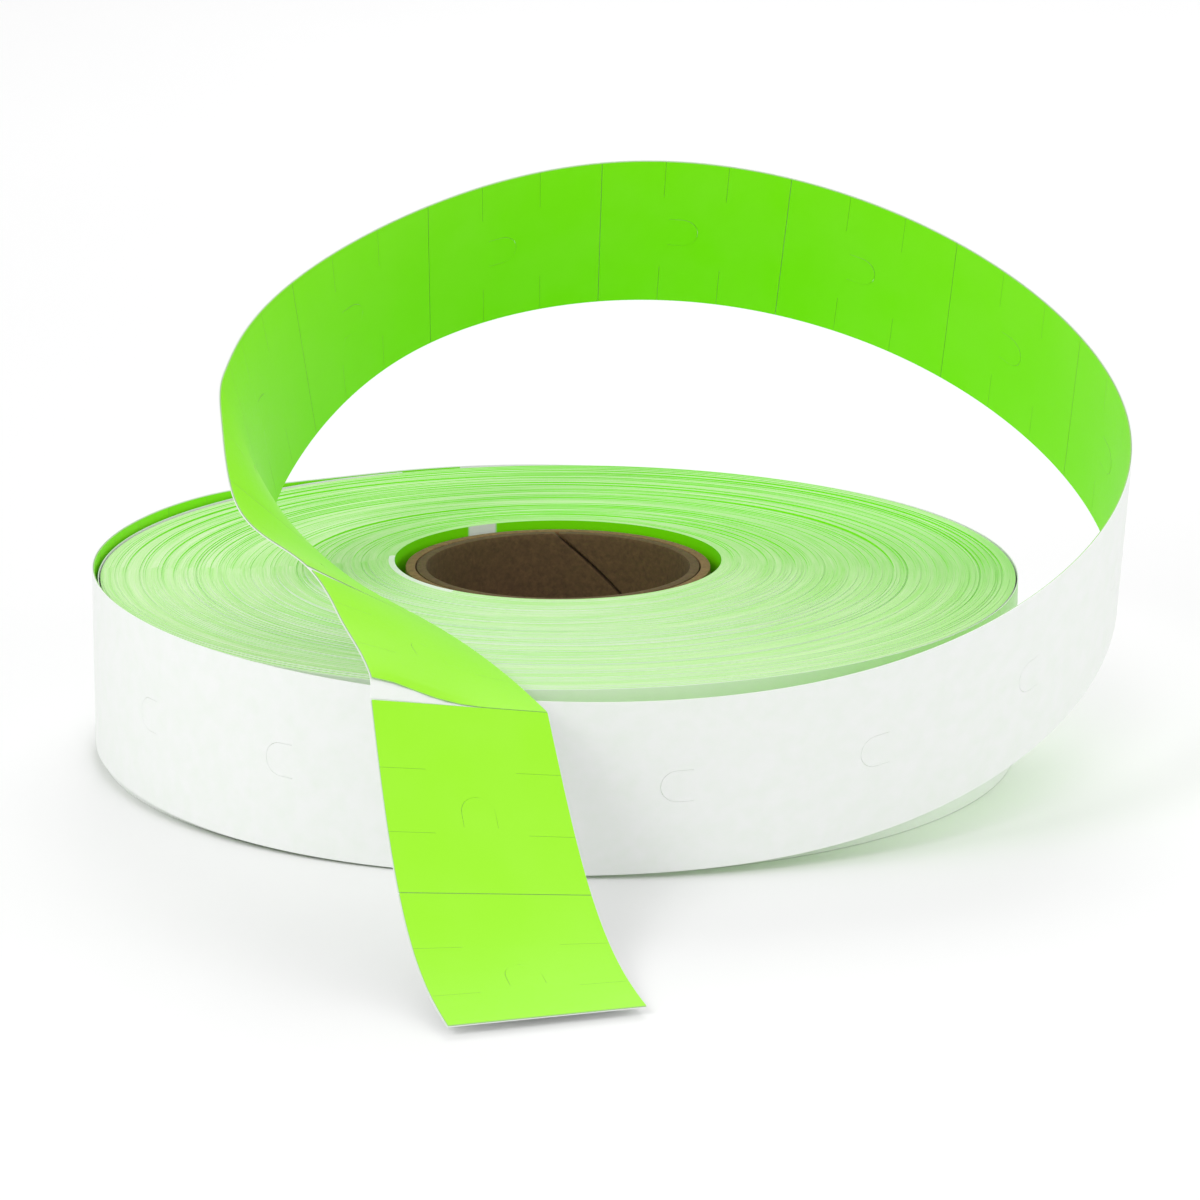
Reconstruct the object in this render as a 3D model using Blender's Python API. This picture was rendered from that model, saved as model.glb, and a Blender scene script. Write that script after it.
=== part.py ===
"""Roll of die-cut label tape for a hand price labeller.

The roll stands on its flat side with the core upright. The outer turn is loose: it leaves the wound
tape in front, climbs in a loop over the roll, rolls over on the left and is folded down in front.
Origin: the roll's axis at the height of the table. +Z is up, and the free end lies towards -Y.
"""

import math

import bmesh
import bpy
import numpy as np
from mathutils import Vector

MM = 0.001

# Tape: one row of die-cut labels on a paper liner. The labels are on the inner side of every turn.
TAPE_WIDTH = 22.0 * MM
LABEL_LENGTH = 23.85 * MM
LAST_LABEL_LENGTH = 22.0 * MM
LABEL_GAP = 0.15 * MM
LABEL_THICKNESS = 0.12 * MM
LINER_THICKNESS = 0.10 * MM
LAYER_CLEARANCE = 0.03 * MM

# Roll: a core of two spiral-wound plies, and the tight turns of tape on it.
CORE_BORE_RADIUS = 17.5 * MM
CORE_PLY_THICKNESS = 1.2 * MM
CORE_RECESS = 0.8 * MM
PLY_CLEARANCE = 0.15 * MM
SEAM_GAP = 0.7 * MM
SEAM_LEAD = 90.0 * MM
PACK_RADIUS = 56.7 * MM
PACK_CROWN = 1.2 * MM
PACK_FLAT_RIM = 14.0 * MM

# Loose turn: labels up to the crease, and the clearances to the pack, the table and the fold lines.
# The peel clearance is extra room before the last label, for its edge to swing into.
LABELS_TO_CREASE = 21
WRAP_CLEARANCE = 0.60 * MM
WRAP_RISE = 1.20 * MM
WRAP_RISE_AZIMUTHS = (118.0, 148.0)
TABLE_CLEARANCE = 0.10 * MM
FOLD_CLEARANCE = 0.25 * MM
PEEL_CLEARANCE = 0.10 * MM

# Facets
PACK_SIDES = 128
CROWN_STEPS = 5
PLY_COLUMNS = 48
PLY_ROWS = 10
LABEL_STEPS = 8
CELLS_ACROSS = 2
WRAP_STEP_DEGREES = 10

# Route of the tape's lower edge. Each station has the azimuth in degrees, the distance in mm beyond
# the pack's wall, the height in mm, and how many degrees the tape leans outwards from upright.
# Up to the loop's top the height is taken from the table.
CLIMB = (
    (230, 1.0, 0.5, 0),
    (270, 1.0, 0.3, 10),
    (300, 4, 2, 12),
    (330, 9, 9, 10),
    (360, 12, 22, -3),
    (400, 1, 41, -20),
)
# Past the top the height is taken from the roll's flat rim.
DESCENT = (
    (440, -12, 25, -25),
    (480, -18, 20, -20),
    (520, -22, 11, 3),
    (555, -21, 6.5, 15),
    (572, -21, 6.5, 32),
    (590, -20, 5, 53),
    (615, -9, 3.5, 60),
)
# The crease: its place above the rim, and how far from upright it runs, towards which azimuth.
CREASE = (629, 11, -0.5)
CREASE_TIP = 75
CREASE_HEADING = 205
# Folded tail: here the height is a share of the crease's own height, down to the table.
TAIL = (
    (632, 26, 0.4, 82),
    (634, 41, 0.1, 88),
    (636, 57, 0.0, 90),
)

ROUTE_SAMPLES = 4000
MERGE_DISTANCE = 0.000001
SMOOTH_LIMIT_DEGREES = 40

LABEL_PITCH = LABEL_LENGTH + LABEL_GAP
LABEL_INNER = LAYER_CLEARANCE / 2
LINER_INNER = -(LAYER_CLEARANCE / 2 + LINER_THICKNESS)
OUTER_PLY_RADIUS = CORE_BORE_RADIUS + CORE_PLY_THICKNESS + PLY_CLEARANCE
PACK_BORE_RADIUS = OUTER_PLY_RADIUS + CORE_PLY_THICKNESS + PLY_CLEARANCE


def remove_old_objects():
    for old in list(bpy.data.objects):
        bpy.data.objects.remove(old)


def paper(name, colour, roughness):
    """A plain dull sheet material in a linear RGB colour."""
    material = bpy.data.materials.new(name)
    material.use_nodes = True
    shader = material.node_tree.nodes["Principled BSDF"]
    shader.inputs["Base Color"].default_value = (*colour, 1.0)
    shader.inputs["Roughness"].default_value = roughness
    shader.inputs["Metallic"].default_value = 0.0
    material.diffuse_color = (*colour, 1.0)
    return material


def pivot(name, place, parent=None):
    """An empty on a joint's axis. What moves about the joint is parented to it."""
    empty = bpy.data.objects.new(name, None)
    bpy.context.scene.collection.objects.link(empty)
    origin = Vector((0.0, 0.0, 0.0))
    if parent is not None:
        empty.parent = parent
        origin = Vector(parent["place"])
    empty.location = Vector(place) - origin
    empty["place"] = tuple(place)
    return empty


def add_object(name, shape, material, parent):
    """Turns a bmesh in world coordinates into an object whose origin is at its parent."""
    bmesh.ops.recalc_face_normals(shape, faces=shape.faces[:])
    bmesh.ops.translate(shape, verts=shape.verts[:], vec=-Vector(parent["place"]))
    mesh = bpy.data.meshes.new(name)
    shape.to_mesh(mesh)
    shape.free()
    mesh.shade_smooth()
    mesh.set_sharp_from_angle(angle=math.radians(SMOOTH_LIMIT_DEGREES))
    mesh.materials.append(material)
    part = bpy.data.objects.new(name, mesh)
    part.parent = parent
    bpy.context.scene.collection.objects.link(part)
    return part


def thick_sheet(rows, normals, thickness):
    """A closed slab. Its inner face runs through rows of points, and it grows along their normals."""
    shape = bmesh.new()
    number = shape.verts.layers.int.new("number")
    points = np.asarray(rows)
    directions = np.asarray(normals).reshape(-1, 3)
    grid = []
    for row in points:
        line = []
        for point in row:
            vertex = shape.verts.new(point)
            vertex[number] = len(grid) * len(row) + len(line)
            line.append(vertex)
        grid.append(line)
    for row, following in zip(grid, grid[1:]):
        for column in range(len(row) - 1):
            start, right = row[column], row[column + 1]
            up, corner = following[column], following[column + 1]
            shape.faces.new((start, right, up))
            shape.faces.new((right, corner, up))
    grown = bmesh.ops.extrude_face_region(shape, geom=shape.faces[:])["geom"]
    for vertex in grown:
        if isinstance(vertex, bmesh.types.BMVert):
            vertex.co += Vector(directions[vertex[number]]) * thickness
    return shape


def natural_spline(knots, values):
    """A smooth curve through values at knots, with no bend at its ends. It returns value and slope."""
    steps = np.diff(knots)
    slopes = np.diff(values, axis=0) / steps[:, None]
    size = len(knots)
    system = np.eye(size)
    right = np.zeros_like(values)
    for i in range(1, size - 1):
        system[i, i - 1 : i + 2] = (steps[i - 1], 2 * (steps[i - 1] + steps[i]), steps[i])
        right[i] = 6 * (slopes[i] - slopes[i - 1])
    bends = np.linalg.solve(system, right)

    def evaluate(places):
        index = np.clip(np.searchsorted(knots, places, side="right") - 1, 0, size - 2)
        step = steps[index][:, None]
        past = places[:, None] - knots[index][:, None]
        left = step - past
        low, high = bends[index], bends[index + 1]
        start, finish = values[index], values[index + 1]
        value = (low * left**3 + high * past**3) / (6 * step)
        value += (start / step - low * step / 6) * left + (finish / step - high * step / 6) * past
        slope = (high * past**2 - low * left**2) / (2 * step) + (finish - start) / step
        slope -= (high - low) * step / 6
        return value, slope

    return evaluate


def unit(vectors):
    return vectors / np.linalg.norm(vectors, axis=-1, keepdims=True)


class Route:
    """The middle line of the tape through its stations, measured by its own length."""

    def __init__(self, lower_edge, across):
        across = unit(np.array(across))
        middle = np.array(lower_edge) + across * TAPE_WIDTH / 2
        chords = np.linalg.norm(np.diff(middle, axis=0), axis=1)
        knots = np.concatenate(([0.0], np.cumsum(chords)))
        self.line = natural_spline(knots, middle)
        self.knots = knots
        self.set_across(across)
        self.places = np.linspace(0.0, knots[-1], ROUTE_SAMPLES)
        points = self.line(self.places)[0]
        self.lengths = np.concatenate(([0.0], np.cumsum(np.linalg.norm(np.diff(points, axis=0), axis=1))))
        self.length = self.lengths[-1]

    def set_across(self, across):
        self.across = across
        self.sideways = natural_spline(self.knots, across)

    def frames(self, distances):
        """Middle points, directions across the tape, and normals towards the labels' side."""
        places = np.interp(distances, self.lengths, self.places)
        points, slopes = self.line(places)
        along = unit(slopes)
        across = self.sideways(places)[0]
        across = unit(across - along * np.sum(across * along, axis=1, keepdims=True))
        return points, across, np.cross(across, along)

    def direction(self, distance):
        return unit(self.line(np.array([np.interp(distance, self.lengths, self.places)]))[1])[0]


def edge_point(azimuth, beyond, height):
    angle = math.radians(azimuth)
    radius = PACK_RADIUS + beyond
    return (radius * math.cos(angle), radius * math.sin(angle), height)


def tipped(tip, heading):
    """The direction across the tape when its width leans over towards an azimuth."""
    tip, heading = math.radians(tip), math.radians(heading)
    return (math.sin(tip) * math.cos(heading), math.sin(tip) * math.sin(heading), math.cos(tip))


def wrap_height(azimuth):
    """The loose turn starts level with the pack and has crept up by the time it reaches the left."""
    low, high = WRAP_RISE_AZIMUTHS
    share = min(max((azimuth - low) / (high - low), 0.0), 1.0)
    return TABLE_CLEARANCE + (WRAP_RISE - TABLE_CLEARANCE) * share * share * (3 - 2 * share)


def crease_point():
    azimuth, beyond, height = CREASE
    return edge_point(azimuth, beyond * MM, TAPE_WIDTH + height * MM)


def leaning_route(stations, crease):
    """A route through edge points with a lean each. The width is square to the run, but at the crease."""
    edge = np.array([point for point, _ in stations])
    leans = np.radians([lean for _, lean in stations])[:, None]
    along = unit(np.gradient(edge, axis=0))
    outward = unit(np.cross(along, (0.0, 0.0, 1.0)))
    upright = np.cross(outward, along)
    across = upright * np.cos(leans) + outward * np.sin(leans)
    across[crease] = tipped(CREASE_TIP, CREASE_HEADING)
    return Route(edge, across)


def web_route():
    """From the back of the roll once round the pack, up over the loop and down to the crease."""
    stations = []
    for azimuth in range(-180, 200, WRAP_STEP_DEGREES):
        stations.append((edge_point(azimuth, WRAP_CLEARANCE, wrap_height(azimuth)), 0.0))
    for listed, level in ((CLIMB, 0.0), (DESCENT, TAPE_WIDTH)):
        for azimuth, beyond, height, lean in listed:
            stations.append((edge_point(azimuth, beyond * MM, level + height * MM), lean))
    stations.append((crease_point(), CREASE_TIP))
    return leaning_route(stations, -1)


def tail_route():
    """From the crease down to the table and along it."""
    stations = [(crease_point(), CREASE_TIP)]
    lowest = TABLE_CLEARANCE - LINER_INNER
    fall = crease_point()[2] - lowest
    for azimuth, beyond, share, lean in TAIL:
        stations.append((edge_point(azimuth, beyond * MM, lowest + share * fall), lean))
    return leaning_route(stations, 0)


def share_fold_line(web, tail):
    """Gives both routes the direction across the tape that is square to both at the crease."""
    fold_line = unit(np.cross(tail.direction(0.0), web.direction(web.length)))
    web.set_across(np.vstack((web.across[:-1], fold_line)))
    tail.set_across(np.vstack((fold_line, tail.across[1:])))


def label_distances(start, length):
    return start + np.linspace(0.0, length, LABEL_STEPS + 1)


def ribbon(name, route, distances, inner, thickness, material, parent):
    """A strip of paper as wide as the tape, its inner face a set distance off the middle surface."""
    points, across, normals = route.frames(distances)
    sides = np.linspace(-TAPE_WIDTH / 2, TAPE_WIDTH / 2, CELLS_ACROSS + 1)
    rows = points[:, None] + across[:, None] * sides[:, None] + normals[:, None] * inner
    directions = np.repeat(normals[:, None], CELLS_ACROSS + 1, axis=1)
    return add_object(name, thick_sheet(rows, directions, thickness), material, parent)


def add_label(number, route, start, length, material, parent):
    name = "label_%02d" % number
    places = label_distances(start, length)
    ribbon(name, route, places, LABEL_INNER, LABEL_THICKNESS, material, parent)


def add_liner(name, route, places, material, parent):
    ribbon(name, route, places, LINER_INNER, LINER_THICKNESS, material, parent)


def add_web(route, green, white, parent):
    """The outer turn and the loop: one liner, and its labels counted from the roll to the crease."""
    begin = route.length - LABELS_TO_CREASE * LABEL_PITCH
    places = []
    for index in range(LABELS_TO_CREASE):
        start = begin + index * LABEL_PITCH + LABEL_GAP / 2
        add_label(index + 1, route, start, LABEL_LENGTH, green, parent)
        places.append(label_distances(start, LABEL_LENGTH))
    places.append(np.array([route.length - FOLD_CLEARANCE]))
    places = np.sort(np.concatenate(places))
    add_liner("web_liner", route, places[places <= route.length - FOLD_CLEARANCE], white, parent)


def add_tail(route, green, white, parent):
    """The label below the crease, with the liner behind it."""
    start = LABEL_GAP / 2
    add_label(LABELS_TO_CREASE + 1, route, start, LABEL_LENGTH, green, parent)
    inside = label_distances(start, LABEL_LENGTH)[1:-1]
    ends = (FOLD_CLEARANCE, LABEL_PITCH - FOLD_CLEARANCE)
    add_liner("tail_liner", route, np.sort(np.append(inside, ends)), white, parent)


def add_end(route, green, white, end_parent, label_parent):
    """The last label, cut short, and the liner under it."""
    start = LABEL_PITCH + LABEL_GAP / 2 + PEEL_CLEARANCE
    add_label(LABELS_TO_CREASE + 2, route, start, LAST_LABEL_LENGTH, green, label_parent)
    inside = label_distances(start, LAST_LABEL_LENGTH)[1:]
    places = np.concatenate(([LABEL_PITCH + FOLD_CLEARANCE], inside))
    add_liner("end_liner", route, places, white, end_parent)


def add_core_ply(name, radius, seam_degrees, material, parent):
    """One ply of the core: a rolled strip whose edges meet in a spiral butt seam."""
    low = PACK_CROWN + CORE_RECESS
    high = PACK_CROWN + TAPE_WIDTH - CORE_RECESS
    half_gap = SEAM_GAP / 2 / radius
    rows, normals = [], []
    for height in np.linspace(low, high, PLY_ROWS + 1):
        seam = math.radians(seam_degrees) + 2 * math.pi * height / SEAM_LEAD
        angles = np.linspace(seam + half_gap, seam + 2 * math.pi - half_gap, PLY_COLUMNS + 1)
        outward = np.stack((np.cos(angles), np.sin(angles), np.zeros_like(angles)), axis=1)
        rows.append(outward * radius + (0.0, 0.0, height))
        normals.append(outward)
    add_object(name, thick_sheet(rows, normals, CORE_PLY_THICKNESS), material, parent)


def add_wound_tape(material, parent):
    """The tight turns. The inner turns have crept up, so the top is crowned and the bottom dished."""
    inner_rim = PACK_RADIUS - PACK_FLAT_RIM
    crowned = []
    for step in range(CROWN_STEPS + 1):
        share = step / CROWN_STEPS
        radius = inner_rim + (PACK_BORE_RADIUS - inner_rim) * share
        crowned.append((radius, PACK_CROWN * share**2))
    top = [(PACK_RADIUS, TAPE_WIDTH)] + [(radius, TAPE_WIDTH + rise) for radius, rise in crowned]
    bottom = [(PACK_RADIUS, 0.0)] + crowned
    shape = bmesh.new()
    profile = [shape.verts.new((radius, 0.0, height)) for radius, height in top + bottom[::-1]]
    edges = [shape.edges.new(pair) for pair in zip(profile, profile[1:] + profile[:1])]
    bmesh.ops.spin(
        shape,
        geom=profile + edges,
        cent=(0.0, 0.0, 0.0),
        axis=(0.0, 0.0, 1.0),
        angle=2 * math.pi,
        steps=PACK_SIDES,
    )
    bmesh.ops.remove_doubles(shape, verts=shape.verts[:], dist=MERGE_DISTANCE)
    add_object("wound_tape", shape, material, parent)


def main():
    remove_old_objects()
    green = paper("label_green", (0.38, 0.90, 0.06), 0.55)
    white = paper("liner_white", (0.86, 0.87, 0.83), 0.70)
    pale = paper("tape_edge", (0.60, 0.83, 0.38), 0.80)
    kraft = paper("core_board", (0.25, 0.17, 0.09), 0.90)

    web, tail = web_route(), tail_route()
    share_fold_line(web, tail)
    gap_point, _, _ = tail.frames(np.array([LABEL_PITCH]))
    peel_point, _, peel_normal = tail.frames(np.array([LABEL_PITCH + LABEL_GAP / 2 + PEEL_CLEARANCE]))
    crease_point, _, _ = tail.frames(np.array([0.0]))

    roll_axis = pivot("roll_axis", (0.0, 0.0, 0.0))
    crease_axis = pivot("crease_axis", crease_point[0], roll_axis)
    gap_axis = pivot("gap_axis", gap_point[0], crease_axis)
    peel_axis = pivot("peel_axis", peel_point[0] + peel_normal[0] * LABEL_INNER, gap_axis)

    add_core_ply("core_inner_ply", CORE_BORE_RADIUS, 0.0, kraft, roll_axis)
    add_core_ply("core_outer_ply", OUTER_PLY_RADIUS, 180.0, kraft, roll_axis)
    add_wound_tape(pale, roll_axis)
    add_web(web, green, white, roll_axis)
    add_tail(tail, green, white, crease_axis)
    add_end(tail, green, white, gap_axis, peel_axis)


main()
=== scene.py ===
"""A roll of price-gun label tape: green die-cut labels on a white liner, wound on a kraft core.

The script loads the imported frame, models the paper in its true thicknesses with its feed cuts and
side slits, and sets a plain studio round it. Run it in Blender; lengths are in metres.
"""

import math

import bmesh
import bpy
import numpy as np
from bpy.props import FloatProperty, FloatVectorProperty, IntProperty, PointerProperty
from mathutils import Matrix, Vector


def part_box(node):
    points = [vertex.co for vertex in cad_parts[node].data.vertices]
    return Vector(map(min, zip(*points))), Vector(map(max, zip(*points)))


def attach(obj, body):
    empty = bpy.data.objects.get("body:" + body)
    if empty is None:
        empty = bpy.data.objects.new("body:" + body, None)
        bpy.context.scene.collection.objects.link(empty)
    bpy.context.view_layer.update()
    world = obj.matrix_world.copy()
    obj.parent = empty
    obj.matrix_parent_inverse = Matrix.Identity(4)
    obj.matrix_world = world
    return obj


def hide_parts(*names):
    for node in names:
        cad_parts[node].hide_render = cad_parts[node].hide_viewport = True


bl_info = {
    "name": "Label Roll",
    "version": (1, 0, 0),
    "blender": (4, 5, 0),
    "location": "View3D > Sidebar > Label Roll",
    "description": "Builds a roll of die-cut price labels with its loose outer turn",
    "category": "Add Mesh",
}

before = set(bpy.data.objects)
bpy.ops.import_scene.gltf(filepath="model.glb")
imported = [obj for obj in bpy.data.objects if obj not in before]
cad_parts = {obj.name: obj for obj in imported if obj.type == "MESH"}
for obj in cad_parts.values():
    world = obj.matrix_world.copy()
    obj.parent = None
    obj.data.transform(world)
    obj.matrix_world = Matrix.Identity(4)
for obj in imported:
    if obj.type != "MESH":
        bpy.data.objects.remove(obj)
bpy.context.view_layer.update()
MM = 0.001
UP = (0.0, 0.0, 1.0)

# Route of the tape's lower edge, which repeats the CAD's. Each station has the azimuth in degrees, the
# distance in mm beyond the pack's wall, the height in mm, and how many degrees the tape leans outwards
# from upright.
# Up to the loop's top the height is taken from the table.
CLIMB = (
    (230, 1.0, 0.5, 0),
    (270, 1.0, 0.3, 10),
    (300, 4, 2, 12),
    (330, 9, 9, 10),
    (360, 12, 22, -3),
    (400, 1, 41, -20),
)
# Past the top the height is taken from the roll's flat rim.
DESCENT = (
    (440, -12, 25, -25),
    (480, -18, 20, -20),
    (520, -22, 11, 3),
    (555, -21, 6.5, 15),
    (572, -21, 6.5, 32),
    (590, -20, 5, 53),
    (615, -9, 3.5, 60),
)
# The crease: its place above the rim, and how far from upright it runs, towards which azimuth.
CREASE = (629, 11, -0.5)
CREASE_TIP = 75
CREASE_HEADING = 205
# Folded tail: here the height is a share of the crease's own height, down to the table.
TAIL = (
    (632, 26, 0.4, 82),
    (634, 41, 0.1, 88),
    (636, 57, 0.0, 90),
)
WRAP_CLEARANCE = 0.60 * MM
WRAP_RISE = 1.20 * MM
WRAP_RISE_AZIMUTHS = (118.0, 148.0)
TABLE_CLEARANCE = 0.10 * MM
FOLD_CLEARANCE = 0.12 * MM
TAPE_WIDTH = 22.0 * MM
LABEL_LENGTH = 23.85 * MM
LAST_LABEL_LENGTH = 22.0 * MM
LABEL_GAP = 0.15 * MM
EDGE_SHOW = 0.10
GAP_SHOW = 0.06
LABEL_PITCH = LABEL_LENGTH + LABEL_GAP
LABELS_TO_CREASE = 21
SWELL_HEIGHT = 1.5
SWELL_REACH = 14.0
SWELL_DROP = 1.6
TWIST_BARE = 1.3
PACK_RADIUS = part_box("wound_tape")[1][0]


class LabelRollTape(bpy.types.PropertyGroup):
    """Sizes and colours of the tape."""

    label_thickness: FloatProperty(
        name="Label thickness", description="Thickness of a label", default=0.12 * MM, subtype="DISTANCE"
    )
    liner_thickness: FloatProperty(
        name="Liner thickness", description="Thickness of the liner", default=0.10 * MM, subtype="DISTANCE"
    )
    label_colour: FloatVectorProperty(
        name="Label colour",
        description="Print colour of the labels",
        default=(0.21, 0.86, 0.0),
        subtype="COLOR",
    )
    # Painted highlight: a paler green laid on the labels towards the front, standing in for the stronger light and
    # sheen they catch there.
    label_highlight: FloatVectorProperty(
        name="Label highlight",
        description="Paler print colour on the labels that lie towards the front",
        default=(0.36, 0.90, 0.030),
        subtype="COLOR",
    )
    liner_colour: FloatVectorProperty(
        name="Liner colour", description="Colour of the release liner", default=(0.88, 0.90, 0.88), subtype="COLOR"
    )
    cut_width: FloatProperty(
        name="Cut width", description="Width of the feed cuts and slits", default=0.03 * MM, subtype="DISTANCE"
    )


class LabelRollRoll(bpy.types.PropertyGroup):
    """Sizes and colours of the wound tape and its core."""

    turns: IntProperty(name="Turns", description="Tight turns of tape on the core", default=146, min=10)
    stagger: FloatProperty(
        name="Stagger", description="How far one turn stands beside the next", default=0.08 * MM, subtype="DISTANCE"
    )
    edge_green: FloatVectorProperty(
        name="Edge green", description="Label edges in the wound tape", default=(0.34, 0.80, 0.14), subtype="COLOR"
    )
    edge_white: FloatVectorProperty(
        name="Edge white", description="Liner edges in the wound tape", default=(0.74, 0.90, 0.58), subtype="COLOR"
    )
    board_colour: FloatVectorProperty(
        name="Board colour", description="Kraft board of the core", default=(0.125, 0.070, 0.028), subtype="COLOR"
    )


class LabelRollStage(bpy.types.PropertyGroup):
    """Camera distance and light."""

    camera_distance: FloatProperty(
        name="Camera distance", description="From the camera to the roll's middle", default=0.65, subtype="DISTANCE"
    )
    sky: FloatProperty(name="Sky", description="Strength of the even white surround", default=0.78)
    key: FloatProperty(name="Key", description="Power of the main soft light", default=2.2, unit="POWER")


class Value:
    """A shader socket that takes part in arithmetic."""

    def __init__(self, shade, socket):
        self.shade = shade
        self.socket = socket

    def __add__(self, other):
        return self.shade.math("ADD", self, other)

    def __sub__(self, other):
        return self.shade.math("SUBTRACT", self, other)

    def __rsub__(self, other):
        return self.shade.math("SUBTRACT", other, self)

    def __mul__(self, other):
        return self.shade.math("MULTIPLY", self, other)

    def __truediv__(self, other):
        return self.shade.math("DIVIDE", self, other)

    def __pow__(self, other):
        return self.shade.math("POWER", self, other)

    __radd__ = __add__
    __rmul__ = __mul__


class Shade:
    """A node material that is written as expressions."""

    def __init__(self, name, **constants):
        self.material = bpy.data.materials.new(name)
        self.material.use_nodes = True
        self.tree = self.material.node_tree
        self.shader = self.tree.nodes["Principled BSDF"]
        for socket, value in constants.items():
            self.shader.inputs[socket.replace("_", " ")].default_value = value

    def node(self, kind, settings=None, values=None):
        """Adds a node, makes its settings, then sets or links its sockets by name or number."""
        made = self.tree.nodes.new(kind)
        for key, value in (settings or {}).items():
            setattr(made, key, value)
        for key, value in (values or {}).items():
            self.feed(made.inputs[key], value)
        return made

    def feed(self, socket, value):
        if isinstance(value, Value):
            self.tree.links.new(value.socket, socket)
        elif socket.type == "RGBA" and len(value) == 3:
            socket.default_value = (*value, 1.0)
        else:
            socket.default_value = value

    def math(self, operation, *operands):
        made = self.node("ShaderNodeMath", {"operation": operation}, dict(enumerate(operands)))
        return Value(self, made.outputs[0])

    def limit(self, value, low, high):
        """Maps low to 0 and high to 1, and keeps the result between them."""
        values = {"Value": value, "From Min": low, "From Max": high}
        return Value(self, self.node("ShaderNodeMapRange", {"clamp": True}, values).outputs["Result"])

    def place(self):
        return Value(self, self.node("ShaderNodeTexCoord").outputs["Object"])

    def parts(self, vector):
        split = self.node("ShaderNodeSeparateXYZ", None, {0: vector})
        return [Value(self, output) for output in split.outputs]

    def join(self, x, y, z):
        return Value(self, self.node("ShaderNodeCombineXYZ", None, {0: x, 1: y, 2: z}).outputs[0])

    def noise(self, vector, scale, detail=2.0, roughness=0.5):
        values = {"Vector": vector, "Scale": scale, "Detail": detail, "Roughness": roughness}
        return Value(self, self.node("ShaderNodeTexNoise", None, values).outputs["Fac"])

    def mix(self, share, first, second):
        values = {0: share, 6: first, 7: second}
        return Value(self, self.node("ShaderNodeMix", {"data_type": "RGBA"}, values).outputs[2])

    def bump(self, height, distance, strength=1.0):
        values = {"Height": height, "Distance": distance, "Strength": strength}
        self.drive("Normal", Value(self, self.node("ShaderNodeBump", None, values).outputs[0]))

    def drive(self, socket, value):
        self.feed(self.shader.inputs[socket], value)


def label_face_material(look):
    """Green printed face of a label: satin, with a faint mottle and paper grain, and a painted highlight that turns
    the green paler towards the front.
    """
    shade = Shade("label_green_face", Roughness=0.42, Specular_IOR_Level=0.12)
    place = shade.place()
    mottle = shade.noise(place, 120.0, 3.0)
    grain = shade.noise(place, 2600.0, 2.0)
    # Painted highlight: the print green is mixed towards the paler highlight green on the labels nearer the front.
    painted_highlight_share = shade.limit(shade.parts(place)[1], 60.0 * MM, -70.0 * MM)
    print_with_painted_highlight = shade.mix(painted_highlight_share, tuple(look.label_colour), tuple(look.label_highlight))
    thin = shade.mix(0.05, print_with_painted_highlight, (0.60, 0.95, 0.20))
    shade.drive("Base Color", shade.mix(shade.limit(mottle, 0.35, 0.70), print_with_painted_highlight, thin))
    shade.drive("Roughness", 0.36 + grain * 0.16)
    shade.bump(grain, 0.01 * MM, 0.35)
    return shade.material


def paper_core_material():
    """White body of the label paper, seen at its cut edges and on its back."""
    shade = Shade("label_paper_core", Roughness=0.8)
    fibres = shade.noise(shade.place(), 3200.0, 3.0)
    shade.drive("Base Color", shade.mix(fibres, (0.30, 0.62, 0.14), (0.48, 0.78, 0.28)))
    shade.bump(fibres, 0.01 * MM, 0.5)
    return shade.material


def liner_material(look):
    """White release liner: smooth, with a cloudy formation that tints it faintly green in patches."""
    shade = Shade("release_liner", Roughness=0.5)
    place = shade.place()
    cloud = shade.noise(place, 420.0, 4.0, 0.6)
    grain = shade.noise(place, 2900.0, 2.0)
    white = tuple(look.liner_colour)
    tinted = (white[0] * 0.955, white[1] * 0.985, white[2] * 0.945)
    shade.drive("Base Color", shade.mix(shade.limit(cloud, 0.35, 0.75), white, tinted))
    shade.drive("Roughness", 0.44 + grain * 0.14)
    shade.bump(grain, 0.008 * MM, 0.35)
    return shade.material


def ring_coordinates(shade):
    """Radius and angle about the roll's axis, stretched so that streaks run along the turns."""
    x, y, _ = shade.parts(shade.place())
    radius = shade.math("SQRT", x * x + y * y)
    angle = shade.math("ARCTAN2", y, x)
    return radius, angle


def slit_edge_material(look):
    """Tops of the wound turns: label and liner cut edges in fine rings, with scuffs along them."""
    shade = Shade("slit_edges", Roughness=0.75)
    radius, angle = ring_coordinates(shade)
    fine = shade.noise(shade.join(radius * 9000.0, angle * 6.0, 0.0), 1.0, 3.0, 0.7)
    broad = shade.noise(shade.join(radius * 900.0, angle * 1.5, 3.0), 1.0, 2.0)
    share = shade.limit(fine, 0.25, 0.75) * 0.6 + shade.limit(broad, 0.30, 0.70) * 0.4
    shade.drive("Base Color", shade.mix(share, tuple(look.edge_green), tuple(look.edge_white)))
    shade.bump(fine, 0.03 * MM, 0.6)
    return shade.material


def bore_wall_material(look):
    """Inner face of the first turn: green labels, after a stretch of bare liner at the tape's start."""
    shade = Shade("first_turn", Roughness=0.5, Specular_IOR_Level=0.15)
    _, angle = ring_coordinates(shade)
    begun = shade.limit(angle, math.radians(112.5), math.radians(113.5))
    ended = shade.limit(angle, math.radians(124.5), math.radians(123.5))
    bare = begun * ended
    grain = shade.noise(shade.place(), 2600.0, 2.0)
    shade.drive("Base Color", shade.mix(bare, tuple(look.label_colour), tuple(look.liner_colour)))
    shade.bump(grain, 0.01 * MM, 0.4)
    return shade.material


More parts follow.
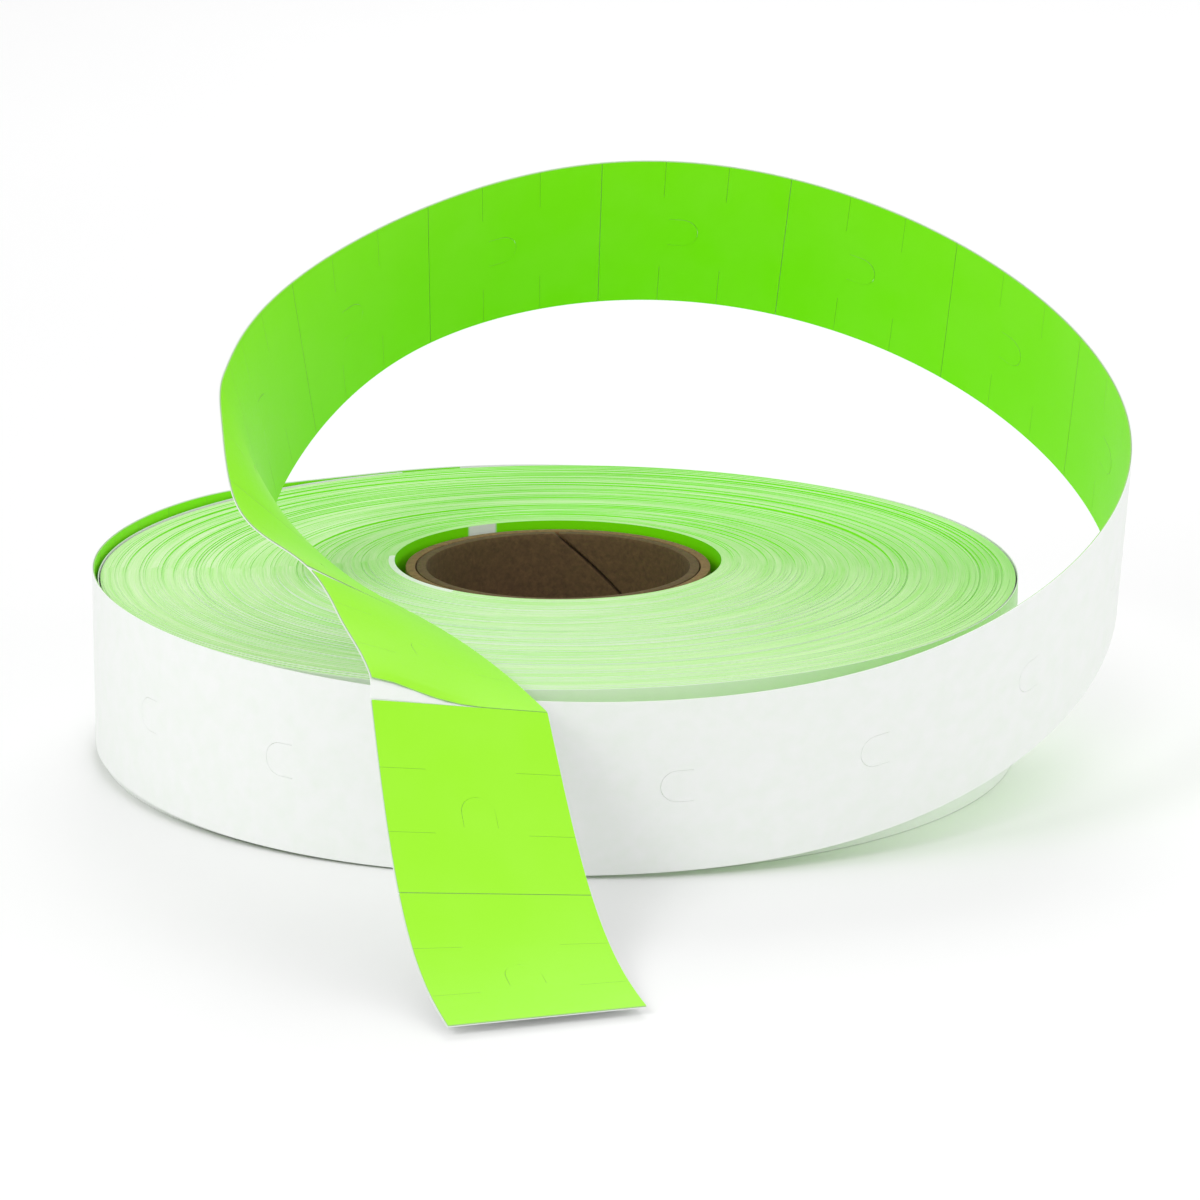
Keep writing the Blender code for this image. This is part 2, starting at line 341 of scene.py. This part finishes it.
def board_material(look, name, painted_light_tone):
    """Kraft board: brown fibres, dark flecks and the streaks of the spiral winding, scaled by a tone that paints
    light and shade.
    """
    shade = Shade(name, Roughness=0.9)
    x, y, height = shade.parts(shade.place())
    angle = shade.math("ARCTAN2", y, x)
    spiral = shade.join(angle * 6.0 - height * 420.0, height * 60.0, 0.0)
    streaks = shade.noise(spiral, 1.3, 4.0, 0.6)
    fibres = shade.noise(shade.place(), 1500.0, 5.0, 0.7)
    board = tuple(channel * painted_light_tone for channel in look.board_colour)
    dark = tuple(channel * 0.62 for channel in board)
    pale = tuple(channel * 1.35 for channel in board)
    body = shade.mix(shade.limit(fibres, 0.32, 0.68), dark, pale)
    shade.drive("Base Color", shade.mix(shade.limit(streaks, 0.3, 0.7) * 0.5, body, board))
    shade.bump(fibres + streaks * 0.4, 0.08 * MM, 0.7)
    return shade.material


def floor_material():
    """Matt white table, a little uneven so that it isn't one flat value."""
    shade = Shade("white_table", Roughness=0.55)
    cloud = shade.noise(shade.place(), 6.0, 2.0)
    shade.drive("Base Color", shade.mix(cloud, (0.93, 0.93, 0.93), (0.95, 0.95, 0.95)))
    return shade.material


def smoothstep(value):
    value = np.clip(value, 0.0, 1.0)
    return value * value * (3 - 2 * value)


def natural_spline(knots, values):
    """A smooth curve through values at knots, with no bend at its ends. It returns value and slope."""
    steps = np.diff(knots)
    slopes = np.diff(values, axis=0) / steps[:, None]
    size = len(knots)
    system = np.eye(size)
    right = np.zeros_like(values)
    for i in range(1, size - 1):
        system[i, i - 1 : i + 2] = (steps[i - 1], 2 * (steps[i - 1] + steps[i]), steps[i])
        right[i] = 6 * (slopes[i] - slopes[i - 1])
    bends = np.linalg.solve(system, right)

    def evaluate(places):
        index = np.clip(np.searchsorted(knots, places, side="right") - 1, 0, size - 2)
        step = steps[index][:, None]
        past = places[:, None] - knots[index][:, None]
        left = step - past
        low, high = bends[index], bends[index + 1]
        start, finish = values[index], values[index + 1]
        value = (low * left**3 + high * past**3) / (6 * step)
        value += (start / step - low * step / 6) * left + (finish / step - high * step / 6) * past
        slope = (high * past**2 - low * left**2) / (2 * step) + (finish - start) / step
        slope -= (high - low) * step / 6
        return value, slope

    return evaluate


def unit(vectors):
    return vectors / np.linalg.norm(vectors, axis=-1, keepdims=True)


class Route:
    """The middle line of the tape through its stations, measured by its own length."""

    SAMPLES = 4000

    def __init__(self, lower_edge, across):
        across = unit(np.array(across))
        middle = np.array(lower_edge) + across * TAPE_WIDTH / 2
        chords = np.linalg.norm(np.diff(middle, axis=0), axis=1)
        self.knots = np.concatenate(([0.0], np.cumsum(chords)))
        self.line = natural_spline(self.knots, middle)
        self.set_across(across)
        self.places = np.linspace(0.0, self.knots[-1], self.SAMPLES)
        points = self.line(self.places)[0]
        self.lengths = np.concatenate(([0.0], np.cumsum(np.linalg.norm(np.diff(points, axis=0), axis=1))))
        self.length = self.lengths[-1]

    def set_across(self, across):
        self.across = across
        self.sideways = natural_spline(self.knots, across)

    def frames(self, distances):
        """Middle points, directions across the tape, and normals towards the labels' side."""
        places = np.interp(distances, self.lengths, self.places)
        points, slopes = self.line(places)
        along = unit(slopes)
        across = self.sideways(places)[0]
        across = unit(across - along * np.sum(across * along, axis=1, keepdims=True))
        return points, across, np.cross(across, along)

    def direction(self, distance):
        return unit(self.line(np.array([np.interp(distance, self.lengths, self.places)]))[1])[0]


def edge_point(azimuth, beyond, height):
    angle = math.radians(azimuth)
    radius = PACK_RADIUS + beyond
    return (radius * math.cos(angle), radius * math.sin(angle), height)


def tipped(tip, heading):
    """The direction across the tape when its width leans over towards an azimuth."""
    tip, heading = math.radians(tip), math.radians(heading)
    return (math.sin(tip) * math.cos(heading), math.sin(tip) * math.sin(heading), math.cos(tip))


def wrap_height(azimuth):
    """The loose turn starts level with the pack and has crept up by the time it reaches the left."""
    low, high = WRAP_RISE_AZIMUTHS
    return TABLE_CLEARANCE + (WRAP_RISE - TABLE_CLEARANCE) * smoothstep((azimuth - low) / (high - low))


def crease_point():
    azimuth, beyond, height = CREASE
    return edge_point(azimuth, beyond * MM, TAPE_WIDTH + height * MM)


def leaning_route(stations, crease):
    """A route through edge points with a lean each. The width is square to the run, but at the crease."""
    edge = np.array([point for point, _ in stations])
    leans = np.radians([lean for _, lean in stations])[:, None]
    along = unit(np.gradient(edge, axis=0))
    outward = unit(np.cross(along, UP))
    upright = np.cross(outward, along)
    across = upright * np.cos(leans) + outward * np.sin(leans)
    across[crease] = tipped(CREASE_TIP, CREASE_HEADING)
    return Route(edge, across)


def tape_routes():
    """The route of the loose turn down to the crease, and the route of the tail from there."""
    stations = []
    for azimuth in range(-180, 200, 10):
        stations.append((edge_point(azimuth, WRAP_CLEARANCE, wrap_height(azimuth)), 0.0))
    for listed, level in ((CLIMB, 0.0), (DESCENT, TAPE_WIDTH)):
        for azimuth, beyond, height, lean in listed:
            stations.append((edge_point(azimuth, beyond * MM, level + height * MM), lean))
    stations.append((crease_point(), CREASE_TIP))
    web = leaning_route(stations, -1)
    stations = [(crease_point(), CREASE_TIP)]
    lowest = TABLE_CLEARANCE + 0.115 * MM
    fall = crease_point()[2] - lowest
    for azimuth, beyond, share, lean in TAIL:
        stations.append((edge_point(azimuth, beyond * MM, lowest + share * fall), lean))
    tail = leaning_route(stations, 0)
    fold_line = unit(np.cross(tail.direction(0.0), web.direction(web.length)))
    web.set_across(np.vstack((web.across[:-1], fold_line)))
    tail.set_across(np.vstack((fold_line, tail.across[1:])))
    return web, tail


def outer_turn_route():
    """The last tight turn: it hugs the pack, then eases out and up to where the loose turn starts."""
    start_azimuth = 103.5
    edge, across = [], []
    for azimuth in np.arange(start_azimuth - 352.0, start_azimuth + 0.1, 8.0):
        ease = smoothstep((azimuth - start_azimuth + 24.0) / 24.0)
        beyond = -0.10 * MM + (WRAP_CLEARANCE + 0.10 * MM) * ease
        edge.append(edge_point(azimuth, beyond, TABLE_CLEARANCE * ease))
        across.append(UP)
    return Route(edge, across)


def feed_cut(centre, width):
    """Outline of the U-shaped feed cut, closed towards the roll and open towards the free end."""
    radius, reach = 2.0, 1.9
    middle = centre - reach + radius
    outline = []
    for side in (1, -1):
        size = radius + side * width / 2
        arc = [(middle - size * math.sin(a), -size * math.cos(a)) for a in np.linspace(0, math.pi, 13)]
        line = [(centre + reach, -size)] + arc + [(centre + reach, size)]
        outline.extend(line[::side])
    return outline


def slit_outline(start, end, half, slits, depth, width):
    """Outline of one label, with narrow slits running in from both long edges."""
    lower = [(start, -half)]
    for place in slits:
        lower += [(place - width / 2, -half), (place - width / 2, -half + depth)]
        lower += [(place + width / 2, -half + depth), (place + width / 2, -half)]
    lower.append((end, -half))
    upper = [(along, -side) for along, side in reversed(lower)]
    return lower + upper


def add_loop(shape, outline):
    corners = [shape.verts.new((along, side, 0.0)) for along, side in outline]
    for first, second in zip(corners, corners[1:] + corners[:1]):
        shape.edges.new((first, second))


def flat_pattern(shape, start, end, slits, cut_centre, cut_width, inset=0.0):
    """Adds the flat cut shape of one length of tape, in mm: its outline and its feed cut."""
    half = TAPE_WIDTH / MM / 2 - inset
    piece = bmesh.new()
    add_loop(piece, slit_outline(start, end, half, slits, 0.25 * 2 * half, cut_width))
    if cut_centre is not None:
        add_loop(piece, feed_cut(cut_centre, cut_width))
    bmesh.ops.triangle_fill(piece, use_beauty=True, edges=piece.edges[:], normal=UP)
    count = max(int(round(end - start)), 1)
    for place in np.linspace(start, end, count + 1)[1:-1]:
        cut_along(piece, (place, 0.0, 0.0), (1.0, 0.0, 0.0))
    for place in np.linspace(-half, half, 9)[1:-1]:
        cut_along(piece, (0.0, place, 0.0), (0.0, 1.0, 0.0))
    mesh = bpy.data.meshes.new("pattern")
    piece.to_mesh(mesh)
    piece.free()
    shape.from_mesh(mesh)
    bpy.data.meshes.remove(mesh)


def cut_along(shape, point, normal):
    geometry = shape.verts[:] + shape.edges[:] + shape.faces[:]
    bmesh.ops.bisect_plane(shape, geom=geometry, dist=0.0001, plane_co=point, plane_no=normal)


def wrap_on(name, shape, route, start, inner, thickness, materials, lift=None, shift=None):
    """Thickens a flat cut shape and lays it on the route. The labels' side is material 0.

    Lift raises points off the route. Shift moves them along the tape, in mm.
    """
    bmesh.ops.remove_doubles(shape, verts=shape.verts[:], dist=0.0002)
    grown = bmesh.ops.extrude_face_region(shape, geom=shape.faces[:])["geom"]
    for vertex in grown:
        if isinstance(vertex, bmesh.types.BMVert):
            vertex.co.z = 1.0
    bmesh.ops.recalc_face_normals(shape, faces=shape.faces[:])
    for face in shape.faces:
        face.smooth = True
        face.material_index = 0 if face.normal.z > 0.5 else 1
    mesh = bpy.data.meshes.new(name)
    shape.to_mesh(mesh)
    shape.free()
    flat = np.empty(len(mesh.vertices) * 3)
    mesh.vertices.foreach_get("co", flat)
    along, side, share = flat.reshape(-1, 3).T
    if shift is not None:
        along = along + shift(along, side)
    points, across, normals = route.frames(start + along * MM)
    offset = inner + share * thickness
    if lift is not None:
        offset = offset + lift(along, side)
    placed = points + across * (side * MM)[:, None] + normals * offset[:, None]
    mesh.vertices.foreach_set("co", placed.ravel())
    mesh.update()
    mesh.set_sharp_from_angle(angle=math.radians(40))
    for material in materials:
        mesh.materials.append(material)
    piece = bpy.data.objects.new(name, mesh)
    bpy.context.scene.collection.objects.link(piece)
    return piece


def tongue_lift(centre, height):
    """How far the tongue inside the feed cut stands up, greatest at its round tip."""

    def lift(along, side):
        inside = (np.abs(side) < 1.99) & (along > centre - 1.87) & (along < centre + 2.6)
        near = (along - (centre + 0.1)) ** 2 + side**2 < 1.99**2
        inside &= near | (along > centre + 0.1)
        return np.where(inside, smoothstep((centre + 2.6 - along) / 4.4) * height, 0.0)

    return lift


def left_share(side):
    """Nothing in the middle of the tape, and everything at its left edge; side is in mm."""
    return smoothstep((side + 4.0) / 15.0)


def crease_swell(to_crease, side):
    """The tape swells at the left before the crease, then drops steeply to it; lengths in mm."""
    rise = smoothstep((SWELL_REACH - to_crease) / (SWELL_REACH - SWELL_DROP))
    drop = np.clip(to_crease / SWELL_DROP, 0.0, 1.0)
    return SWELL_HEIGHT * MM * rise * drop * left_share(side)


def settings(context):
    return context.scene.label_roll_tape, context.scene.label_roll_roll, context.scene.label_roll_stage


def deselect_all():
    if bpy.context.mode != "OBJECT":
        bpy.ops.object.mode_set(mode="OBJECT")
    bpy.ops.object.select_all(action="DESELECT")
    bpy.context.view_layer.objects.active = None


class LABELROLL_OT_stage(bpy.types.Operator):
    """Sets the table, the soft lights and the camera"""

    bl_idname = "label_roll.stage"
    bl_label = "Stage"

    def execute(self, context):
        look = settings(context)[2]
        deselect_all()
        bpy.ops.mesh.primitive_plane_add(size=6.0, location=(0.0, 0.0, -0.05 * MM))
        table = context.object
        table.name = "table"
        table.data.materials.append(floor_material())
        self.add_sky(context, look.sky)
        self.add_light("key_light", (-0.50, -0.55, 0.60), 0.40, look.key)
        self.add_light("back_light", (0.10, 0.70, 0.65), 0.50, look.key * 0.75)
        self.add_light("right_fill", (0.85, -0.30, 0.30), 0.60, look.key * 0.55)
        self.add_camera(context, look.camera_distance)
        return {"FINISHED"}

    def add_sky(self, context, strength):
        world = bpy.data.worlds.new("surround")
        context.scene.world = world
        world.use_nodes = True
        background = world.node_tree.nodes["Background"]
        background.inputs["Color"].default_value = (1.0, 1.0, 1.0, 1.0)
        background.inputs["Strength"].default_value = strength

    def add_light(self, name, place, size, power):
        bpy.ops.object.light_add(type="AREA", location=place)
        lamp = bpy.context.object
        lamp.name = name
        lamp.data.size = size
        lamp.data.energy = power
        aim_at(lamp, (0.0, 0.0, 0.02))

    def add_camera(self, context, distance):
        elevation = math.radians(15.0)
        middle = 11.0 * MM
        away = distance * math.cos(elevation)
        bpy.ops.object.camera_add(location=(0.0, -away, middle + distance * math.sin(elevation)))
        camera = context.object
        camera.name = "camera"
        camera.rotation_euler = (math.pi / 2 - elevation, 0.0, 0.0)
        camera.data.sensor_width = 36.0
        camera.data.lens = 157.0 * distance / 0.65
        camera.data.shift_x = 0.035
        camera.data.shift_y = 0.045
        camera.data.clip_start = 0.01
        context.scene.camera = camera
        context.scene.view_settings.view_transform = "Standard"


def aim_at(thing, target):
    offset = np.array(target) - np.array(thing.location)
    flat = math.hypot(offset[0], offset[1])
    thing.rotation_euler = (math.atan2(flat, -offset[2]), 0.0, math.atan2(offset[1], offset[0]) - math.pi / 2)


class LABELROLL_OT_core(bpy.types.Operator):
    """Builds the two spiral-wound plies of the core"""

    bl_idname = "label_roll.core"
    bl_label = "Core"

    def execute(self, context):
        look = settings(context)[1]
        # Painted shade: the inner ply, seen inside the bore, is painted darker than the outer ply, as the shade
        # that falls in the bore.
        inner = board_material(look, "board_inner_painted_shade", 1.0)
        outer = board_material(look, "board_outer", 1.9)
        self.add_ply("core_lining", "core_inner_ply", 0.0, inner)
        self.add_ply("core_wrap", "core_outer_ply", math.pi, outer)
        return {"FINISHED"}

    def add_ply(self, name, node, seam, material):
        """A strip wound into a tube whose edges meet in a spiral seam."""
        low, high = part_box(node)
        outer_radius = high[0]
        thickness = 1.2 * MM
        rows, sides, lead = 24, 168, 90.0 * MM
        rise = (high[2] - low[2]) / rows
        deselect_all()
        bpy.ops.mesh.primitive_circle_add(
            vertices=sides, radius=outer_radius - thickness, fill_type="NOTHING", location=(0, 0, low[2])
        )
        ply = context_object(name)
        bpy.ops.object.transform_apply(location=True, rotation=True, scale=True)
        bpy.ops.object.mode_set(mode="EDIT")
        bpy.ops.mesh.select_all(action="SELECT")
        first_turn = -(seam + 2 * math.pi * low[2] / lead)
        bpy.ops.transform.rotate(value=first_turn, orient_axis="Z", center_override=(0, 0, low[2]))
        for row in range(rows):
            height = low[2] + (row + 1) * rise
            bpy.ops.mesh.extrude_region_move(TRANSFORM_OT_translate={"value": (0, 0, rise)})
            turn = -2 * math.pi * rise / lead
            bpy.ops.transform.rotate(value=turn, orient_axis="Z", center_override=(0, 0, height))
        bpy.ops.object.mode_set(mode="OBJECT")
        self.open_seam(ply, seam, lead, sides)
        ply.modifiers.new("wall", "SOLIDIFY").thickness = -thickness
        ply.modifiers["wall"].offset = -1.0
        edge = ply.modifiers.new("worn_edges", "BEVEL")
        edge.width = 0.12 * MM
        edge.segments = 2
        edge.limit_method = "ANGLE"
        for modifier in ("wall", "worn_edges"):
            bpy.ops.object.modifier_apply(modifier=modifier)
        bpy.ops.object.mode_set(mode="EDIT")
        bpy.ops.mesh.select_all(action="SELECT")
        bpy.ops.mesh.normals_make_consistent(inside=False)
        bpy.ops.object.mode_set(mode="OBJECT")
        bpy.ops.object.shade_smooth_by_angle(angle=math.radians(35))
        ply.data.materials.append(material)
        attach(ply, "roll")
        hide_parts(node)

    def open_seam(self, ply, seam, lead, sides):
        """Takes out the one spiral column of faces that lies on the seam."""
        shape = bmesh.new()
        shape.from_mesh(ply.data)
        step = 2 * math.pi / sides
        gone = []
        for face in shape.faces:
            centre = face.calc_center_median()
            turned = math.atan2(centre.y, centre.x) - seam - 2 * math.pi * centre.z / lead
            offset = (turned + math.pi) % (2 * math.pi) - math.pi
            if abs(offset - step / 2) < step / 2:
                gone.append(face)
        bmesh.ops.delete(shape, geom=gone, context="FACES")
        shape.to_mesh(ply.data)
        shape.free()


def context_object(name):
    made = bpy.context.object
    made.name = name
    made.data.name = name
    return made


class LABELROLL_OT_wound_tape(bpy.types.Operator):
    """Builds the tight turns, each with its own height, and the last tight turn round them"""

    bl_idname = "label_roll.wound_tape"
    bl_label = "Wound tape"

    SIDES = 160

    def execute(self, context):
        tape, look, _ = settings(context)
        low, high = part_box("wound_tape")
        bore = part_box("core_outer_ply")[1][0] + 0.15 * MM
        outer = PACK_RADIUS - 0.30 * MM
        heights = self.turn_heights(look, bore, outer)
        body = self.spin_profile(bore, outer, heights)
        self.stagger_turns(body, look, bore)
        self.paint(body, bore, tape, look)
        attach(body, "roll")
        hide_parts("wound_tape")
        self.add_outer_turn(tape)
        return {"FINISHED"}

    def crown(self, radius, bore):
        flat_rim = PACK_RADIUS - 14.0 * MM
        share = np.clip((flat_rim - radius) / (flat_rim - bore), 0.0, 1.0)
        return 1.2 * MM * share**2

    def turn_heights(self, look, bore, outer):
        """Start radius and top height of each turn, from the bore out."""
        rng = np.random.default_rng(7)
        radii = np.linspace(bore, outer, look.turns + 1)
        jitter = rng.normal(0.0, 1.0, look.turns) * look.stagger * 0.55
        top = TAPE_WIDTH + self.crown(radii[:-1], bore) + jitter
        top[0] = TAPE_WIDTH + self.crown(bore, bore)
        return list(zip(radii[:-1], radii[1:], top))

    def spin_profile(self, bore, outer, heights):
        """Extrudes the stepped profile point by point and spins it round the axis."""
        profile = []
        for start, end, top in heights:
            profile += [(start, top), (end, top)]
        for radius in np.linspace(outer, bore, 14):
            profile.append((radius, self.crown(radius, bore) + 0.02 * MM))
        deselect_all()
        bpy.ops.mesh.primitive_plane_add(size=0.001)
        body = context_object("wound_turns")
        bpy.ops.object.mode_set(mode="EDIT")
        bpy.ops.mesh.select_all(action="SELECT")
        bpy.ops.mesh.merge(type="CENTER")
        bpy.ops.transform.translate(value=(profile[0][0], 0.0, profile[0][1]))
        for (radius, height), (further, next_height) in zip(profile, profile[1:]):
            step = (further - radius, 0.0, next_height - height)
            bpy.ops.mesh.extrude_region_move(TRANSFORM_OT_translate={"value": step})
        bpy.ops.object.mode_set(mode="OBJECT")
        close_profile(body.data)
        bpy.ops.object.mode_set(mode="EDIT")
        bpy.ops.mesh.select_all(action="SELECT")
        bpy.ops.mesh.spin(steps=self.SIDES, angle=2 * math.pi, center=(0, 0, 0), axis=UP)
        bpy.ops.mesh.select_all(action="SELECT")
        bpy.ops.mesh.remove_doubles(threshold=0.000001)
        bpy.ops.mesh.normals_make_consistent(inside=False)
        bpy.ops.object.mode_set(mode="OBJECT")
        return body

    def stagger_turns(self, body, look, bore):
        """Tilts each turn a little its own way, so that the edges drift round the roll."""
        rng = np.random.default_rng(11)
        count = look.turns
        kernel = np.hanning(9)
        kernel /= kernel.sum()
        waves = []
        for _ in range(6):
            rough = rng.normal(0.0, 1.0, count + 8)
            waves.append(np.convolve(rough, kernel, mode="valid"))
        own = rng.normal(0.0, 1.0, (2, count))
        flat = np.empty(len(body.data.vertices) * 3)
        body.data.vertices.foreach_get("co", flat)
        places = flat.reshape(-1, 3)
        radius = np.hypot(places[:, 0], places[:, 1])
        angle = np.arctan2(places[:, 1], places[:, 0])
        up = places[:, 2] > TAPE_WIDTH / 2
        turn_of = np.clip(self.turn_numbers(body), 0, count - 1)
        tilt = np.zeros(len(places))
        for number, (first, second) in enumerate(zip(waves[0::2], waves[1::2]), start=1):
            tilt += first[turn_of] * np.cos(number * angle) + second[turn_of] * np.sin(number * angle)
        tilt = tilt * 1.1 + own[0][turn_of] * np.cos(angle) * 0.5 + own[1][turn_of] * np.sin(angle) * 0.5
        fade = np.clip((radius - bore) / (2 * MM), 0.0, 1.0)
        places[:, 2] += np.where(up, tilt * look.stagger * fade, 0.0)
        body.data.vertices.foreach_set("co", places.ravel())
        body.data.update()

    def turn_numbers(self, body):
        """Which turn each vertex belongs to, stored while the profile was made."""
        stored = body.data.attributes.get("turn")
        numbers = np.zeros(len(body.data.vertices), dtype=np.int32)
        stored.data.foreach_get("value", numbers)
        return numbers

    def paint(self, body, bore, tape, look):
        """Cut edges on top, liner on walls that face out, green on walls that face in."""
        mesh = body.data
        for material in (
            slit_edge_material(look),
            liner_material(tape),
            label_face_material(tape),
            bore_wall_material(tape),
        ):
            mesh.materials.append(material)
        for face in mesh.polygons:
            centre, normal = face.center, face.normal
            radius = math.hypot(centre.x, centre.y)
            angle = math.atan2(centre.y, centre.x) % (2 * math.pi)
            outward = (centre.x * normal.x + centre.y * normal.y) / radius
            bare = radius < bore + 0.8 * MM and math.radians(175) < angle < math.radians(232)
            if radius < bore + 0.01 * MM:
                face.material_index = 3
            elif bare and abs(outward) < 0.7:
                face.material_index = 1
            elif abs(outward) > 0.7:
                face.material_index = 1 if outward > 0 else 2
            else:
                face.material_index = 0
            face.use_smooth = True
        mesh.set_sharp_from_angle(angle=math.radians(30))

    def add_outer_turn(self, tape):
        route = outer_turn_route()
        shape = bmesh.new()
        pitches = int(route.length / LABEL_PITCH)
        for number in range(pitches):
            start = number * LABEL_PITCH / MM
            centre = start + 0.55 * LABEL_PITCH / MM
            flat_pattern(shape, start, start + LABEL_PITCH / MM, (), centre, tape.cut_width / MM)
        rest = pitches * LABEL_PITCH / MM
        flat_pattern(shape, rest, route.length / MM, (), None, tape.cut_width / MM)
        white = liner_material(tape)
        piece = wrap_on("outer_turn", shape, route, 0.0, -0.10 * MM, 0.10 * MM, (white, white))
        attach(piece, "roll")


def close_profile(mesh):
    """Joins the profile's last point to its first, and numbers its turns from the bore out."""
    shape = bmesh.new()
    shape.from_mesh(mesh)
    turn = shape.verts.layers.int.new("turn")
    shape.verts.ensure_lookup_table()
    for vertex in shape.verts:
        vertex[turn] = vertex.index // 2
    shape.edges.new((shape.verts[0], shape.verts[-1]))
    shape.to_mesh(mesh)
    shape.free()


class LABELROLL_OT_liner(bpy.types.Operator):
    """Lays the liner of the loose turn, the tail and the end, with its feed cuts"""

    bl_idname = "label_roll.liner"
    bl_label = "Liner"

    def execute(self, context):
        tape = settings(context)[0]
        web, tail = tape_routes()
        white = liner_material(tape)
        pitch, cut = LABEL_PITCH / MM, tape.cut_width / MM
        begin = web.length - LABELS_TO_CREASE * LABEL_PITCH
        end = web.length - FOLD_CLEARANCE
        self.lay(tape, "web_tape_liner", "web_liner", "web", web, begin, end, white, pitch, cut)
        split = LABEL_PITCH - FOLD_CLEARANCE
        self.lay(tape, "tail_tape_liner", "tail_liner", "tail", tail, FOLD_CLEARANCE, split, white, pitch, cut)
        finish = LABEL_PITCH + LABEL_GAP / 2 + LAST_LABEL_LENGTH
        start = LABEL_PITCH + FOLD_CLEARANCE
        self.lay(tape, "end_tape_liner", "end_liner", "end", tail, start, finish, white, pitch, cut)
        return {"FINISHED"}

    def lay(self, tape, name, node, body, route, start, finish, white, pitch, cut):
        shape = bmesh.new()
        length = (finish - start) / MM
        place = 0.0
        while place < length - 0.5:
            last = min(place + pitch, length)
            if length - last < 0.5:
                last = length
            flat_pattern(shape, place, last, (), place + 0.55 * pitch, cut)
            place = last
        inner = -(0.015 * MM + tape.liner_thickness)
        to_crease = (route.length - start) / MM

        def swell(along, side):
            return crease_swell(to_crease - along, side)

        lift = swell if body == "web" else None
        piece = wrap_on(name, shape, route, start, inner, tape.liner_thickness, (white, white), lift)
        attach(piece, body)
        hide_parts(node)


class LABELROLL_OT_labels(bpy.types.Operator):
    """Lays the loose labels one by one, with their feed cuts and side slits"""

    bl_idname = "label_roll.labels"
    bl_label = "Labels"

    def execute(self, context):
        tape = settings(context)[0]
        web, tail = tape_routes()
        materials = (label_face_material(tape), paper_core_material())
        begin = web.length - LABELS_TO_CREASE * LABEL_PITCH + LABEL_GAP / 2
        for number in range(1, LABELS_TO_CREASE + 1):
            start = begin + (number - 1) * LABEL_PITCH
            self.lay(tape, number, web, start, LABEL_LENGTH, "web", materials)
        self.lay(tape, 22, tail, LABEL_GAP / 2, LABEL_LENGTH, "tail", materials)
        start = LABEL_PITCH + LABEL_GAP / 2
        self.lay(tape, 23, tail, start, LAST_LABEL_LENGTH, "last_label", materials)
        return {"FINISHED"}

    def lay(self, tape, number, route, start, length, body, materials):
        whole = LABEL_LENGTH / MM
        centre = 0.55 * LABEL_PITCH / MM - LABEL_GAP / MM / 2
        slits = (whole / 3, whole * 2 / 3)
        closed = 0.0 if number == LABELS_TO_CREASE + 2 else (LABEL_GAP / MM - GAP_SHOW) / 2
        shape = bmesh.new()
        flat_pattern(shape, -closed, length / MM + closed, slits, centre, tape.cut_width / MM, EDGE_SHOW)
        rng = np.random.default_rng(100 + number)
        height = (0.02 + 0.04 * rng.random()) * MM
        tongue = tongue_lift(centre, height)
        to_crease = (route.length - start) / MM

        def raised(along, side):
            swell = crease_swell(to_crease - along, side) if body == "web" else 0.0
            return tongue(along, side) + swell

        def shifted(along, side):
            move = 0.0
            if number == LABELS_TO_CREASE:
                move = move - SWELL_DROP * left_share(side) * np.clip((along - whole + 6.0) / 6.0, 0.0, 1.0)
                move = move + TWIST_BARE * left_share(side) * np.clip((6.0 - along) / 6.0, 0.0, 1.0)
            return move

        name = "price_label_%02d" % number
        thickness = tape.label_thickness
        piece = wrap_on(name, shape, route, start, 0.015 * MM, thickness, materials, raised, shifted)
        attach(piece, body)
        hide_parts("label_%02d" % number)


class LABELROLL_PT_panel(bpy.types.Panel):
    """Lists the steps in the sidebar"""

    bl_idname = "LABELROLL_PT_panel"
    bl_label = "Label Roll"
    bl_space_type = "VIEW_3D"
    bl_region_type = "UI"
    bl_category = "Label Roll"

    def draw(self, context):
        for name in STEPS:
            self.layout.operator("label_roll." + name)


STEPS = ("stage", "core", "wound_tape", "liner", "labels")
CLASSES = (
    LabelRollTape,
    LabelRollRoll,
    LabelRollStage,
    LABELROLL_OT_stage,
    LABELROLL_OT_core,
    LABELROLL_OT_wound_tape,
    LABELROLL_OT_liner,
    LABELROLL_OT_labels,
    LABELROLL_PT_panel,
)


def register():
    for cls in CLASSES:
        bpy.utils.register_class(cls)
    bpy.types.Scene.label_roll_tape = PointerProperty(type=LabelRollTape)
    bpy.types.Scene.label_roll_roll = PointerProperty(type=LabelRollRoll)
    bpy.types.Scene.label_roll_stage = PointerProperty(type=LabelRollStage)


def unregister():
    del bpy.types.Scene.label_roll_stage
    del bpy.types.Scene.label_roll_roll
    del bpy.types.Scene.label_roll_tape
    for cls in reversed(CLASSES):
        bpy.utils.unregister_class(cls)


def main():
    register()
    for name in STEPS:
        getattr(bpy.ops.label_roll, name)()


if __name__ == "__main__":
    main()
